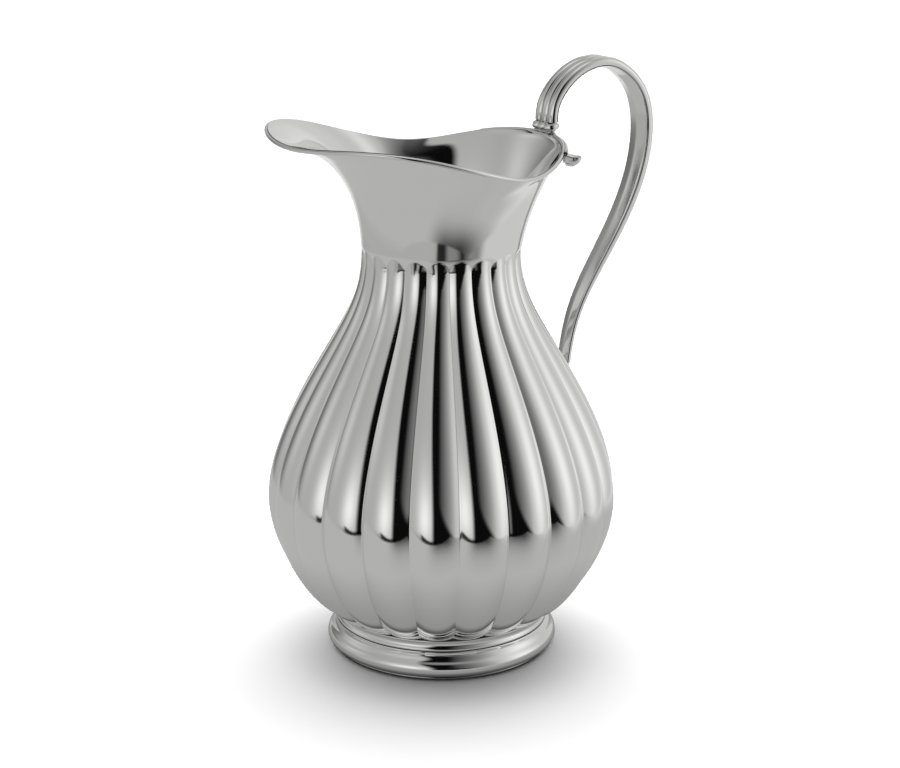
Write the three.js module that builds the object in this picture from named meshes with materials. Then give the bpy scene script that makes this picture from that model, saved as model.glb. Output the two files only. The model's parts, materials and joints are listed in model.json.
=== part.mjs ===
// A silver water pitcher: a lobed belly, a plain neck that flares into a broad spout, a moulded foot and a
// reeded loop handle. Millimetres, +Z up, standing on z = 0. The spout points to -X and the handle to +X.
import * as THREE from "three";

const { cos, sin, tan, sqrt, min, max, PI } = Math;
const degrees = THREE.MathUtils.degToRad;
const clamp = THREE.MathUtils.clamp;

// ---- Driving dimensions ----
const GAP = 0.3; // clearance at each soldered joint
const WALL = 1.2; // thickness of the body's sheet

// The belly's outline along the crest of a lobe, as [radius, height], from the middle of the bottom up to
// the neck. The last point lies above the neck and only guides the curve.
const CREST = [
  [0, 14.6],
  [26, 14.8],
  [42, 16.2],
  [50, 19],
  [60.8, 28.5],
  [71.6, 46.5],
  [76.8, 69],
  [71.8, 95],
  [58.2, 123.5],
  [46, 144.3],
  [37.1, 163],
  [34.6, 178.6],
  [36.2, 194],
];
const LOBES = 22; // an even number, with a valley at the spout and one at the handle
const LOBE_EDGE = degrees(41); // slope of a lobe's arc where it meets the next lobe
const LOBE_TOP = 182; // height at which the lobes end in the neck
const LOBE_FADE = 7; // height over which they reach their full depth
const LOBE_BOTTOM_R = [34, 46]; // radii between which the lobes fade out under the belly
const LOBE_BOTTOM_Z = 40; // height above which they have left that fade

// The neck leaves its narrowest ring straight up. It curls over into the spout, and opens as a straight cone with
// a turned-out lip towards the handle.
const NECK_RISE = 29.9; // length of the upper curve's first handle
const CONE = { radius: 37.6, height: 197.3, slope: degrees(61) }; // a point of the cone, and its slope
const CONE_TURN = [-0.25, 0.6]; // minus the cosines of the angles between which the cone sets in
const CONE_WEIGHTS = [1, 1.2, 4, 2, 1]; // of the curve's control points where it follows the cone
const LIP_DROP = 3.3; // height of the lip over the cone's end
const QUARTIC = [1, 4, 6, 4, 1];
const SEAM = 0.06; // place of the seam between belly and neck on the upper curve, from 0 to 1
const RIM_WIRE = 0.85; // radius of the wire round the rim

// The rim as sums of cosines of the angle from the spout.
const RIM_RADIUS = [61.7, 12.7, 1.8, -2.1, -0.9];
const RIM_HEIGHT = [225.9, 4.8, 4.3, -2.6, -1.6];
const LIP_SLOPE = [51.7, -37.9]; // degrees above level of the lip's edge: middle value and cosine part
// Length of the lip's nearly straight end: the least, what the spout adds, and the power it grows with.
const LIP_REACH = [2.9, 26.5, 1.3];

// The foot, from the belly down: a hollow cove, a bulging apron and a base wire.
const COVE_TOP = { r: 46.6, z: 16.9 };
const COVE_WIDTH = 4; // of the ring that carries the belly
const APRON_TOP = { r: 47.6, z: 12.5 };
const APRON_RADIUS = 51.4; // where its bulge is widest
const BASE_WIRE = { inner: 45.6, outer: 48.4, height: 1.4, bevel: 0.3 };

// The handle's middle line in the XZ plane, as [x, z], from the rim over the loop to the belly.
const HANDLE_LINE = [
  [53.6, 233.2],
  [54.4, 238.4],
  [57.6, 244.2],
  [65.5, 251.5],
  [75.1, 255.2],
  [83.6, 255.1],
  [91.2, 251.6],
  [98.1, 245.2],
  [102.9, 236],
  [104.5, 224.3],
  [103.3, 212],
  [95.6, 189.9],
  [83.7, 169.3],
  [70.2, 145.2],
  [64.4, 121],
];
const HANDLE_WIDTH = [14.2, 13.8, 13, 11.6, 9.8, 8]; // at even steps from the root to the heel
const HANDLE_THICKNESS = [4.6, 5, 5.6, 5, 4, 3];
const REEDS = 3;
const REED_HEIGHT = 1; // of each reed above the grooves beside it
const BEVEL_EDGE = 0.55; // share of the half thickness at which the inner face's bevels start
// The root band's levels, as [share of its height, swell beyond the handle]: a ring, then a knuckle.
const BAND_LEVELS = [
  [0, 0],
  [0.12, 0.8],
  [0.3, 0],
  [0.5, 0.2],
  [0.66, 0.9],
  [0.84, 0.9],
  [1, 0.1],
];
// The pad under the handle's lower end: how far off the belly it starts, and its edge's thickness.
const HEEL = { z: 116.5, halfWidth: 5.5, halfLength: 8, lift: 1.4, edge: 0.8, taper: 0.9 };

// The brackets that run from the handle's root along the outside of the rim, and end in scroll leaves.
// from, to and angle are degrees round the body from the handle.
const ARM = { from: 8, to: 34, thickness: 0.9, rootHeight: 2.2, height: 4, drop: 1 };
const SCROLL = { angle: 40, reach: 6.8, halfWidth: 3.8 };
// A leaf's stations, as [share of its reach, middle height above the rim, half thickness, share of width].
const SCROLL_STATIONS = [
  [0, -3, 2.4, 1],
  [0.35, -3.6, 2.2, 0.95],
  [0.7, -3.1, 1.6, 0.8],
  [0.92, -2.2, 0.9, 0.6],
  [1, -1.7, 0.4, 0.4],
];

// ---- Surfaces ----

/**
 * A closed surface through rings of points, with a single point standing for a closed end. With wrap, the
 * last ring joins the first one again.
 */
function skin(rings, wrap = false) {
  const positions = [];
  const firsts = rings.map((ring) => {
    const first = positions.length / 3;
    ring.forEach((p) => positions.push(p.x, p.y, p.z));
    return first;
  });
  const index = [];
  const spans = wrap ? rings.length : rings.length - 1;
  for (let i = 0; i < spans; i++) {
    const j = (i + 1) % rings.length;
    const sides = max(rings[i].length, rings[j].length);
    for (let k = 0; k < sides; k++) {
      const [a, b] = [k, k + 1].map((n) => firsts[i] + (n % rings[i].length));
      const [c, d] = [k, k + 1].map((n) => firsts[j] + (n % rings[j].length));
      if (a !== b) index.push(a, b, d);
      if (c !== d) index.push(a, d, c);
    }
  }
  if (signedVolume(positions, index) < 0) index.reverse();
  const geometry = new THREE.BufferGeometry();
  geometry.setAttribute("position", new THREE.Float32BufferAttribute(positions, 3));
  geometry.setIndex(index);
  geometry.computeVertexNormals();
  return geometry;
}

function signedVolume(positions, index) {
  const corner = (i) => new THREE.Vector3().fromArray(positions, 3 * index[i]);
  let six = 0;
  for (let i = 0; i < index.length; i += 3) {
    six += corner(i).dot(corner(i + 1).cross(corner(i + 2)));
  }
  return six / 6;
}

/** The middle of a ring, as a ring of one point that closes a surface's end. */
function pole(ring) {
  const sum = new THREE.Vector3();
  ring.forEach((p) => sum.add(p));
  return [sum.divideScalar(ring.length)];
}

/** A point at a radius and height, at an angle from the spout. */
const around = (r, angle, z) => new THREE.Vector3(-r * cos(angle), r * sin(angle), z);

/** One point for each of count equal steps round the axis. */
function ringOf(count, point) {
  return Array.from({ length: count }, (_, i) => point((2 * PI * i) / count));
}

const cosineSum = (terms, angle) => terms.reduce((sum, term, k) => sum + term * cos(k * angle), 0);

/** A value between the listed ones, which are spread evenly from 0 to 1. */
function between(values, t) {
  const at = clamp(t, 0, 1) * (values.length - 1);
  const i = min(Math.floor(at), values.length - 2);
  return THREE.MathUtils.lerp(values[i], values[i + 1], at - i);
}

// ---- Body ----

const crest = new THREE.SplineCurve(CREST.map(([r, z]) => new THREE.Vector2(r, z)));

/** The crest outline at a place counted in points of CREST, moved inwards by depth along its normal. */
function crestPoint(place, depth) {
  const t = place / (CREST.length - 1);
  const p = crest.getPoint(t);
  const along = crest.getTangent(t);
  return new THREE.Vector2(max(p.x - along.y * depth, 0), p.y + along.x * depth);
}

/** Radius of a full-depth lobe whose crest is at radius r, at an angle from the spout. */
function lobedRadius(r, angle) {
  const half = PI / LOBES;
  const fromCrest = (((angle % (2 * half)) + 2 * half) % (2 * half)) - half;
  const valley = r / (cos(half) + sin(half) * Math.tan(LOBE_EDGE / 2));
  const arc = (valley * sin(half)) / sin(LOBE_EDGE);
  const centre = r - arc;
  return centre * cos(fromCrest) + sqrt(arc ** 2 - (centre * sin(fromCrest)) ** 2);
}

/** A point of the belly: place on the crest outline, angle from the spout, depth inside the outer face. */
function bellyPoint(place, angle, depth) {
  const p = crestPoint(place, depth);
  const share = p.y < LOBE_BOTTOM_Z
    ? THREE.MathUtils.smoothstep(p.x, ...LOBE_BOTTOM_R)
    : 1 - THREE.MathUtils.smoothstep(p.y, LOBE_TOP - LOBE_FADE, LOBE_TOP);
  const r = p.x > 0 ? THREE.MathUtils.lerp(p.x, lobedRadius(p.x, angle), share) : 0;
  return around(r, angle, p.y);
}

/** The middle of the rim wire at an angle from the spout, as radius and height. */
const rimAt = (angle) => new THREE.Vector2(cosineSum(RIM_RADIUS, angle), cosineSum(RIM_HEIGHT, angle));

/** A point of the neck: t from the narrowest ring to the lip's edge, angle from the spout, depth inside. */
function neckPoint(t, angle, depth) {
  const slope = degrees(cosineSum(LIP_SLOPE, angle));
  const out = new THREE.Vector2(cos(slope), sin(slope));
  const [least, extra, power] = LIP_REACH;
  const reach = least + extra * ((1 + cos(angle)) / 2) ** power;
  const rim = rimAt(angle);
  const end = rim.clone().addScaledVector(out, -(RIM_WIRE + GAP));
  const before = end.clone().addScaledVector(out, -reach);
  const start = new THREE.Vector2(...CREST.at(-2));
  const guide = start.clone().setY(start.y + NECK_RISE);
  const cone = THREE.MathUtils.smoothstep(-cos(angle), ...CONE_TURN);
  const cornerHeight = rim.y - LIP_DROP;
  const corner = new THREE.Vector2(CONE.radius + (cornerHeight - CONE.height) / tan(CONE.slope), cornerHeight);
  const controls = [
    start,
    start.clone().lerp(guide, 0.75),
    guide.clone().lerp(before, 0.5).lerp(corner, cone),
    before.clone().lerp(end, 0.25).lerp(corner.clone().lerp(end, 0.3), cone),
    end,
  ];
  const at = (place) => {
    const shares = QUARTIC.map(
      (count, k) => count * (1 + (CONE_WEIGHTS[k] - 1) * cone) * place ** k * (1 - place) ** (4 - k),
    );
    const total = shares.reduce((sum, share) => sum + share);
    return controls.reduce((sum, point, k) => sum.addScaledVector(point, shares[k] / total), new THREE.Vector2());
  };
  const p = at(t);
  const along = at(min(t + 1e-4, 1)).sub(at(max(t - 1e-4, 0))).normalize();
  return around(p.x - along.y * depth, angle, p.y + along.x * depth);
}

function bellyGeometry() {
  const steps = 4 * LOBES;
  const neckPlace = CREST.length - 2;
  const places = [1, 2, 3, 3.5, 4, 4.4, 4.8, 5.2, 5.6, 6, 6.5, 7, 8, 9, 9.6, 10.2, 10.6, neckPlace];
  const innerPlaces = [1, 3, 3.6, 4.4, 5.2, 6, 7, 8, 9, 10.2, neckPlace];
  const outer = places.map((place) => ringOf(steps, (angle) => bellyPoint(place, angle, 0)));
  const inner = innerPlaces.map((place) => ringOf(steps, (angle) => bellyPoint(place, angle, WALL)));
  const top = [0, WALL].map((depth) => ringOf(steps, (angle) => neckPoint(SEAM, angle, depth)));
  const bottoms = [0, WALL].map((depth) => [bellyPoint(0, 0, depth)]);
  return skin([bottoms[0], ...outer, ...top, ...inner.reverse(), bottoms[1]]);
}

function neckGeometry() {
  const steps = 66;
  const start = SEAM + GAP / (3 * NECK_RISE);
  const places = [0, 0.15, 0.3, 0.45, 0.6, 0.75, 0.88, 1].map((t) => start + t * (1 - start));
  const side = (depth) => places.map((t) => ringOf(steps, (angle) => neckPoint(t, angle, depth)));
  return skin([...side(0), ...side(WALL).reverse()], true);
}

function rimWireGeometry() {
  const sides = 8;
  const rings = ringOf(72, (angle) =>
    ringOf(sides, (turn) => {
      const p = rimAt(angle);
      return around(p.x + RIM_WIRE * cos(turn), angle, p.y + RIM_WIRE * sin(turn));
    }),
  );
  return skin(rings, true);
}

// ---- Foot ----

/** A ring turned round the axis from a closed outline of [radius, height] points. */
function turned(outline) {
  const shape = outline.map(([r, z]) => new THREE.Vector2(r, z));
  const rings = ringOf(48, (angle) => shape.map((p) => around(p.x, angle, p.y)));
  return skin(rings, true);
}

function coveGeometry() {
  const face = new THREE.CubicBezierCurve(
    new THREE.Vector2(COVE_TOP.r, COVE_TOP.z),
    new THREE.Vector2(COVE_TOP.r - 0.5, COVE_TOP.z - 2.4),
    new THREE.Vector2(COVE_TOP.r - 0.1, APRON_TOP.z + 1.2),
    new THREE.Vector2(APRON_TOP.r, APRON_TOP.z + GAP),
  );
  const outer = face.getPoints(4).map((p) => [p.x, p.y]);
  const inner = COVE_TOP.r - COVE_WIDTH;
  return turned([...outer, [inner, APRON_TOP.z + GAP], [inner, CREST[2][1] - GAP]]);
}

/** The apron's section: its bulge is half an ellipse, hollow behind. */
function apronGeometry() {
  const low = BASE_WIRE.height + GAP;
  const middle = (APRON_TOP.z + low) / 2;
  const bulge = (inset) =>
    Array.from({ length: 7 }, (_, i) => {
      const turn = (PI / 2) * (1 - i / 3);
      const reach = APRON_RADIUS - APRON_TOP.r;
      return [APRON_TOP.r - inset + reach * cos(turn), middle + (APRON_TOP.z - middle) * sin(turn)];
    });
  return turned([...bulge(0), ...bulge(WALL + GAP).reverse()]);
}

function baseWireGeometry() {
  const { inner, outer, height, bevel } = BASE_WIRE;
  const edge = outer - bevel;
  return turned([[inner, 0], [edge, 0], [outer, height / 2], [edge, height], [inner, height]]);
}

// ---- Handle ----

const handleCurve = new THREE.CatmullRomCurve3(HANDLE_LINE.map(([x, z]) => new THREE.Vector3(x, 0, z)));

/**
 * A station of the handle: the half width and half thickness there, and a function that places a point at b
 * across the width and n out of the loop.
 */
function handleStation(t) {
  const middle = handleCurve.getPointAt(t);
  const along = handleCurve.getTangentAt(t);
  const out = new THREE.Vector3(-along.z, 0, along.x);
  return {
    along,
    halfWidth: between(HANDLE_WIDTH, t) / 2,
    halfThickness: between(HANDLE_THICKNESS, t) / 2,
    place: (b, n) => middle.clone().addScaledVector(out, n).setY(b),
  };
}

/** Outer half of the handle's section: reeds side by side on a flat back. */
function reededSection({ halfWidth, halfThickness, place }) {
  const cuts = 4;
  const ring = [place(halfWidth, GAP / 2), place(-halfWidth, GAP / 2)];
  for (let i = 0; i <= REEDS * cuts; i++) {
    const inReed = ((i % cuts) / cuts) * 2 - 1;
    const crown = i % cuts === 0 ? 0 : sqrt(1 - inReed ** 2);
    const b = halfWidth * ((2 * i) / (REEDS * cuts) - 1);
    ring.push(place(b, halfThickness - REED_HEIGHT * (1 - crown)));
  }
  return ring;
}

/** Inner half of the section: two bevels that meet in a low ridge. */
function bevelledSection({ halfWidth, halfThickness, place }) {
  const edge = halfThickness * BEVEL_EDGE;
  return [
    place(-halfWidth, -GAP / 2),
    place(halfWidth, -GAP / 2),
    place(halfWidth, -edge),
    place(0, -halfThickness),
    place(-halfWidth, -edge),
  ];
}

function strapGeometry(section) {
  const stations = 30;
  const rings = Array.from({ length: stations + 1 }, (_, i) => section(handleStation(i / stations)));
  return skin([pole(rings[0]), ...rings, pole(rings.at(-1))]);
}

/** Points of an oval, from a function that places a point across and along it. */
const oval = (across, along, place) => ringOf(16, (turn) => place(across * cos(turn), along * sin(turn)));

/** The knuckled band between the rim and the handle's lower end at the root. */
function rootBandGeometry() {
  const start = handleStation(0);
  const foot = rimAt(PI);
  const low = foot.y + RIM_WIRE + GAP;
  const high = HANDLE_LINE[0][1] - 2 * GAP;
  const rings = BAND_LEVELS.map(([share, swell]) =>
    oval(start.halfWidth + swell, start.halfThickness + swell, (b, n) =>
      new THREE.Vector3(foot.x + (start.place(0, 0).x - foot.x) * share - n, b, low + (high - low) * share),
    ),
  );
  return skin([pole(rings[0]), ...rings, pole(rings.at(-1))]);
}

/** The heel: from an oval that lies on the belly to the handle's lower end. */
function heelGeometry() {
  const bellyHere = CREST.findIndex(([, z]) => z > HEEL.z) - 1;
  const [[r0, z0], [r1, z1]] = CREST.slice(bellyHere, bellyHere + 2);
  const up = new THREE.Vector3(r1 - r0, 0, z1 - z0).normalize();
  const out = new THREE.Vector3(up.z, 0, -up.x);
  const onBelly = new THREE.Vector3(r0 + ((r1 - r0) * (HEEL.z - z0)) / (z1 - z0), 0, HEEL.z);
  const base = (lift, size) =>
    oval(HEEL.halfWidth * size, HEEL.halfLength * size, (b, n) =>
      onBelly.clone().addScaledVector(up, n).addScaledVector(out, lift).setY(b),
    );
  const end = handleStation(1);
  const top = oval(end.halfWidth, end.halfThickness, (b, n) =>
    end.place(b, -n).addScaledVector(end.along, GAP),
  );
  const rings = [base(HEEL.lift, 1), base(HEEL.lift + HEEL.edge, HEEL.taper), top];
  return skin([pole(rings[0]), ...rings, pole(top)]);
}

/** A strip along the outside of the rim, on the side of the given sign. */
function armGeometry(side) {
  const steps = 8;
  const clear = RIM_WIRE + GAP;
  const rings = Array.from({ length: steps + 1 }, (_, i) => {
    const share = i / steps;
    const angle = PI + side * degrees(ARM.from + (ARM.to - ARM.from) * share);
    const rim = rimAt(angle);
    const half = THREE.MathUtils.lerp(ARM.rootHeight, ARM.height, share) / 2;
    const middle = rim.x + clear + ARM.thickness / 2;
    return oval(ARM.thickness / 2, half, (n, z) => around(middle + n, angle, rim.y - ARM.drop + z));
  });
  return skin([pole(rings[0]), ...rings, pole(rings.at(-1))]);
}

/** A leaf that leaves the rim outwards, sags and curls up at its tip. */
function scrollGeometry(side) {
  const angle = PI + side * degrees(SCROLL.angle);
  const rim = rimAt(angle);
  const out = around(1, angle, 0);
  const across = new THREE.Vector3(-out.y, out.x, 0);
  const root = around(rim.x + RIM_WIRE + GAP, angle, rim.y);
  const rings = SCROLL_STATIONS.map(([share, rise, halfThickness, width]) => {
    const middle = root.clone().addScaledVector(out, SCROLL.reach * share);
    return oval(SCROLL.halfWidth * width, halfThickness, (b, z) =>
      middle.clone().addScaledVector(across, b).setZ(root.z + rise + z),
    );
  });
  return skin([pole(rings[0]), ...rings, pole(rings.at(-1))]);
}

// ---- Assembly ----

const silver = { metalness: 1, roughness: 0.08 };
const shades = { body: 0xd8d8d6, mount: 0xcfcfcd, foot: 0xd2d2d0, handle: 0xcacac8 };

function piece(name, geometry, shade) {
  const material = new THREE.MeshStandardMaterial({ color: shades[shade], ...silver });
  const mesh = new THREE.Mesh(geometry, material);
  mesh.name = name;
  return mesh;
}

const pitcher = new THREE.Group();
pitcher.add(
  piece("belly", bellyGeometry(), "body"),
  piece("neck_and_lip", neckGeometry(), "body"),
  piece("rim_wire", rimWireGeometry(), "mount"),
  piece("foot_cove", coveGeometry(), "foot"),
  piece("foot_apron", apronGeometry(), "foot"),
  piece("foot_base_wire", baseWireGeometry(), "foot"),
  piece("handle_reeded_strap", strapGeometry(reededSection), "handle"),
  piece("handle_inner_strap", strapGeometry(bevelledSection), "handle"),
  piece("handle_root_band", rootBandGeometry(), "mount"),
  piece("handle_heel", heelGeometry(), "mount"),
  piece("rim_arm_left", armGeometry(1), "mount"),
  piece("rim_arm_right", armGeometry(-1), "mount"),
  piece("scroll_leaf_left", scrollGeometry(1), "mount"),
  piece("scroll_leaf_right", scrollGeometry(-1), "mount"),
);

// The origin is the middle of the whole object's footprint, on the plane that it stands on.
const bounds = new THREE.Box3().setFromObject(pitcher, true);
pitcher.position.x = -(bounds.min.x + bounds.max.x) / 2;

export default pitcher;
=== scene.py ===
"""A polished silver water pitcher on a pale studio table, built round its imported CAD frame.

Every shape is worked out in millimetres in the body's own frame: the axis is x = y = 0, the foot stands
on z = 0, the spout points to -X and the handle to +X. Angles round the body are counted from the spout.
"""
import json
import math

import bpy
import numpy as np
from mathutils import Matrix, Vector


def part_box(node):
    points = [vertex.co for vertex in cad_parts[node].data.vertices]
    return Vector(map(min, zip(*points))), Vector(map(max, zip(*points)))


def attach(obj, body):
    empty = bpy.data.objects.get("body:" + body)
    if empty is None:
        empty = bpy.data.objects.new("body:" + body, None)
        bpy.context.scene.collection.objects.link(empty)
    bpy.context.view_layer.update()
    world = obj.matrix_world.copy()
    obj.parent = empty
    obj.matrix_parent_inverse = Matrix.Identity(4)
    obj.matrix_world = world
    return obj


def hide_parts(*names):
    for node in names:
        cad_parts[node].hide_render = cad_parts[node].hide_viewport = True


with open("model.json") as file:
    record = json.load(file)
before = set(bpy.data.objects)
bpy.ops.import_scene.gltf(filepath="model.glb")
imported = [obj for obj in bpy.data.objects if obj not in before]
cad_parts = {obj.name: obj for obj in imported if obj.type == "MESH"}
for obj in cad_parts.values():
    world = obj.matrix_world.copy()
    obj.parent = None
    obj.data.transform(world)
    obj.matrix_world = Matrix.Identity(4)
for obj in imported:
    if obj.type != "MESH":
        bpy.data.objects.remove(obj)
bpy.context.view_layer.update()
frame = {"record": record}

MM = 0.001
HALF_TURN = math.pi
FULL_TURN = 2 * math.pi

# ---- Places from the frame ----


def box_mm(node):
    """The lowest and highest corner of a CAD node, in millimetres."""
    return [np.array(corner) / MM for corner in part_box(node)]


APRON_LOW, APRON_HIGH = box_mm("foot_apron")
AXIS_X = (APRON_LOW[0] + APRON_HIGH[0]) / 2  # the body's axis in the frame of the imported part

# ---- Driving dimensions, in millimetres ----

WALL = 1.2
CREST = [  # the belly's outline along the crest of a lobe, as (radius, height)
    (0, 14.6), (26, 14.8), (42, 16.2), (50, 19), (60.8, 28.5), (71.6, 46.5), (76.8, 69),
    (71.8, 95), (58.2, 123.5), (46, 144.3), (37.1, 163), (34.6, 178.6),
]
LOBES = 22
HALF_LOBE = HALF_TURN / LOBES
LOBE_EDGE = math.radians(41)  # slope of a lobe's arc where it meets the next lobe
LOBE_BOTTOM_R = (34, 46)  # the lobes fade out under the belly between these radii
LOBE_BOTTOM_Z = 40  # height above which they have left that fade
LOBE_HELD = 1.75  # place beyond the valley, at 1, from which a lobe's arc falls no further
ARCH_TOP = 182
ARCH_HEIGHT = 5.8  # of the round end of each lobe
ARCH_FADE = (0.12, 1.22)  # shares of that height between which the valleys rise to the plain neck
CREASE = 0.3  # softness of the crease between lobes

NECK_RISE = 29.9  # how far the neck's curve aims straight up from the belly
CONE = (37.6, 197.3)  # radius and height of a point of the cone that the neck follows towards the handle
CONE_SLOPE = math.radians(61)
CONE_TURN = (-0.25, 0.6)  # minus the cosines of the angles round the body between which the cone sets in
CONE_WEIGHTS = (1, 1.2, 4, 2, 1)  # pull of the five points that guide the cone and its lip
CONE_LIP = 0.7  # how near the cone's corner, counted from the edge, the lip's own guide lies
LIP_DROP = 3.3  # height of the lip over the cone's end
SEAM = 0.06  # place of the seam between belly and neck on the neck's curve
RIM_WIRE = 0.85
LIP_SETBACK = 1.15  # where the lip's curve aims, inside the middle of the wire
LIP_TUCK = 0.3  # where the sheet ends inside the wire
RIM_RADIUS = (61.7, 12.7, 1.8, -2.1, -0.9)  # terms of a cosine series round the body
RIM_HEIGHT = (225.9, 4.8, 4.3, -2.6, -1.6)
LIP_SLOPE = (51.7, -37.9)  # degrees
LIP_REACH, LIP_SPOUT_REACH, LIP_POWER = 2.9, 26.5, 1.3

# The neck's normals keep to a steady slope on its sides. The slope is how far they look down per unit out.
STEADY_FALL = 0.52  # at the radius below
STEADY_RADIUS = 40
STEADY_GAIN = 0.005  # more per mm of radius beyond
STEADY_SOFT = 0.2  # softness of the turn into the slope
STEADY_SPOUT = (0.8, 1)  # how far a normal points to the spout, between which the slope gives way
STEADY_START = (0.03, 0.3)  # falls between which it sets in

# Rows up the body's outer face, and columns across a lobe.
BOTTOM_ROWS, SIDE_ROWS, ARCH_ROWS, SEAM_ROWS, NECK_ROWS = 22, 64, 24, 14, 56
BOTTOM_SHARE = 0.3  # of the belly's outline
ARCH_ZONE = 8  # mm of the outline that the arches take
LOBE_COLUMNS = 26
INNER_STEP = 4  # the belly's inner face keeps one row in so many
RIM_STEPS, WIRE_SIDES = 480, 20

HANDLE_LINE = [
    (53.5, 231.6), (54.4, 238.4), (57.6, 244.2), (65.5, 251.5), (75.1, 255.2), (83.6, 255.1), (91.2, 251.6),
    (98.1, 245.2), (102.9, 236), (104.5, 224.3), (103.3, 212), (95.6, 189.9), (83.7, 169.3), (70.2, 145.2),
    (64.4, 121),
]
HANDLE_WIDTH = (14.2, 13.8, 13, 11.6, 9.8, 8)
HANDLE_THICKNESS = (4.6, 5, 5.6, 5, 4, 3)

# ---- Curves and surfaces ----


def smoothstep(low, high, value):
    t = np.clip((value - low) / (high - low), 0, 1)
    return t * t * (3 - 2 * t)


def blend(one, other, share):
    return one + (other - one) * share


class Spline:
    """A smooth curve through points, with its curvature continuous, and set directions at both ends."""

    def __init__(self, points, start, end):
        self.points = np.array(points, float)
        steps = np.linalg.norm(np.diff(self.points, axis=0), axis=1)
        self.knots = np.concatenate([[0], np.cumsum(steps)])
        count = len(self.points)
        system = np.eye(count)
        known = np.zeros_like(self.points)
        known[0] = np.array(start) / np.linalg.norm(start)
        known[-1] = np.array(end) / np.linalg.norm(end)
        rise = np.diff(self.points, axis=0) / steps[:, None]
        for i in range(1, count - 1):
            before, after = steps[i - 1], steps[i]
            system[i, i - 1:i + 2] = after, 2 * (before + after), before
            known[i] = 3 * (after * rise[i - 1] + before * rise[i])
        self.slopes = np.linalg.solve(system, known)

    @property
    def length(self):
        return self.knots[-1]

    def at(self, place):
        """Points at places counted along the curve."""
        place = np.atleast_1d(place)
        i = np.clip(np.searchsorted(self.knots, place, side="right") - 1, 0, len(self.knots) - 2)
        step = self.knots[i + 1] - self.knots[i]
        t = ((place - self.knots[i]) / step)[:, None]
        step = step[:, None]
        return (
            (1 + 2 * t) * (1 - t) ** 2 * self.points[i]
            + t * (1 - t) ** 2 * step * self.slopes[i]
            + t * t * (3 - 2 * t) * self.points[i + 1]
            - t * t * (1 - t) * step * self.slopes[i + 1]
        )

    def evenly(self, count):
        """Points at about even steps along the curve."""
        return self.at(np.linspace(0, self.length, count))


def cosine_sum(terms, angle):
    return sum(term * np.cos(k * angle) for k, term in enumerate(terms))


def around(radius, angle, height):
    """Points at a radius and height, at an angle from the spout."""
    radius, angle, height = np.broadcast_arrays(radius, angle, height)
    return np.stack([-radius * np.cos(angle), radius * np.sin(angle), height], axis=-1)


def unit(vectors):
    return vectors / np.maximum(np.linalg.norm(vectors, axis=-1, keepdims=True), 1e-12)


def grid_normals(points):
    """Outward normals of a grid of points whose rows climb and whose columns close on themselves."""
    along = np.gradient(points, axis=0)
    across = np.roll(points, -1, axis=1) - np.roll(points, 1, axis=1)
    return unit(np.cross(along, across))


# ---- Meshes ----


def grid_faces(rows, columns, wrap):
    spans = rows if wrap else rows - 1
    i, j = np.meshgrid(np.arange(spans), np.arange(columns), indexing="ij")
    below, above = i * columns, (i + 1) % rows * columns
    right = (j + 1) % columns
    return np.stack([below + j, below + right, above + right, above + j], axis=-1).reshape(-1, 4)


def volume_sign(points, faces):
    a, b, c = (points[faces[:, k]] for k in (0, 1, 2))
    d = points[faces[:, 3]]
    total = np.einsum("ij,ij->", a, np.cross(b, c)) + np.einsum("ij,ij->", a, np.cross(c, d))
    return math.copysign(1, total)


def skin(name, points, slot, nodes=(), wrap=False, normals=None, sharp=40):
    """A closed piece from a grid of points: columns close on themselves; rows close too, or end in caps."""
    rows, columns = points.shape[:2]
    vertices = points.reshape(-1, 3)
    faces = grid_faces(rows, columns, wrap)
    flip = volume_sign(vertices - vertices.mean(axis=0), faces) < 0
    caps = []
    if not wrap:
        first, last = points[0].mean(axis=0), points[-1].mean(axis=0)
        count = len(vertices)
        vertices = np.vstack([vertices, first, last])
        ring = np.arange(columns)
        turned = np.roll(ring, -1)
        top = (rows - 1) * columns
        caps = [(b, a, count) for a, b in zip(ring, turned)]
        caps += [(top + a, top + b, count + 1) for a, b in zip(ring, turned)]
    polygons = faces.tolist() + [tuple(int(v) for v in cap) for cap in caps]
    if flip:
        polygons = [polygon[::-1] for polygon in polygons]
    mesh = bpy.data.meshes.new(name)
    mesh.from_pydata((vertices * MM + np.array([AXIS_X * MM, 0, 0])).tolist(), [], polygons)
    mesh.validate()
    mesh.shade_smooth()
    if normals is None:
        mesh.set_sharp_from_angle(angle=math.radians(sharp))
    else:
        mesh.normals_split_custom_set_from_vertices(normals.tolist())
    piece = bpy.data.objects.new(name, mesh)
    bpy.context.scene.collection.objects.link(piece)
    mesh.materials.append(material_for(slot))
    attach(piece, "root")
    if nodes:
        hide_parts(*nodes)
    return piece


def turned(name, outline, slot, nodes, columns=288):
    """A ring turned round the axis from a closed outline of (radius, height) points."""
    outline = np.array(outline, float)
    angles = np.linspace(0, FULL_TURN, columns, endpoint=False)
    points = around(outline[:, 0][:, None], angles[None, :], outline[:, 1][:, None])
    return skin(name, points, slot, nodes, wrap=True)


# ---- Silver ----

SILVER = {slot["slot"]: slot for slot in frame["record"]["materials"]}
_materials = {}


def material_for(slot):
    if slot not in _materials:
        _materials[slot] = silver(slot)
    return _materials[slot]


def noise(tree, place, scale, detail, stretch=(1, 1, 1)):
    """Soft noise between 0 and 1 at a position socket; the scale is in features per metre."""
    mapping = tree.nodes.new("ShaderNodeMapping")
    mapping.inputs["Scale"].default_value = stretch
    tree.links.new(place, mapping.inputs["Vector"])
    node = tree.nodes.new("ShaderNodeTexNoise")
    node.inputs["Scale"].default_value = scale
    node.inputs["Detail"].default_value = detail
    tree.links.new(mapping.outputs[0], node.inputs["Vector"])
    return Field(tree, node.outputs[0])


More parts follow.
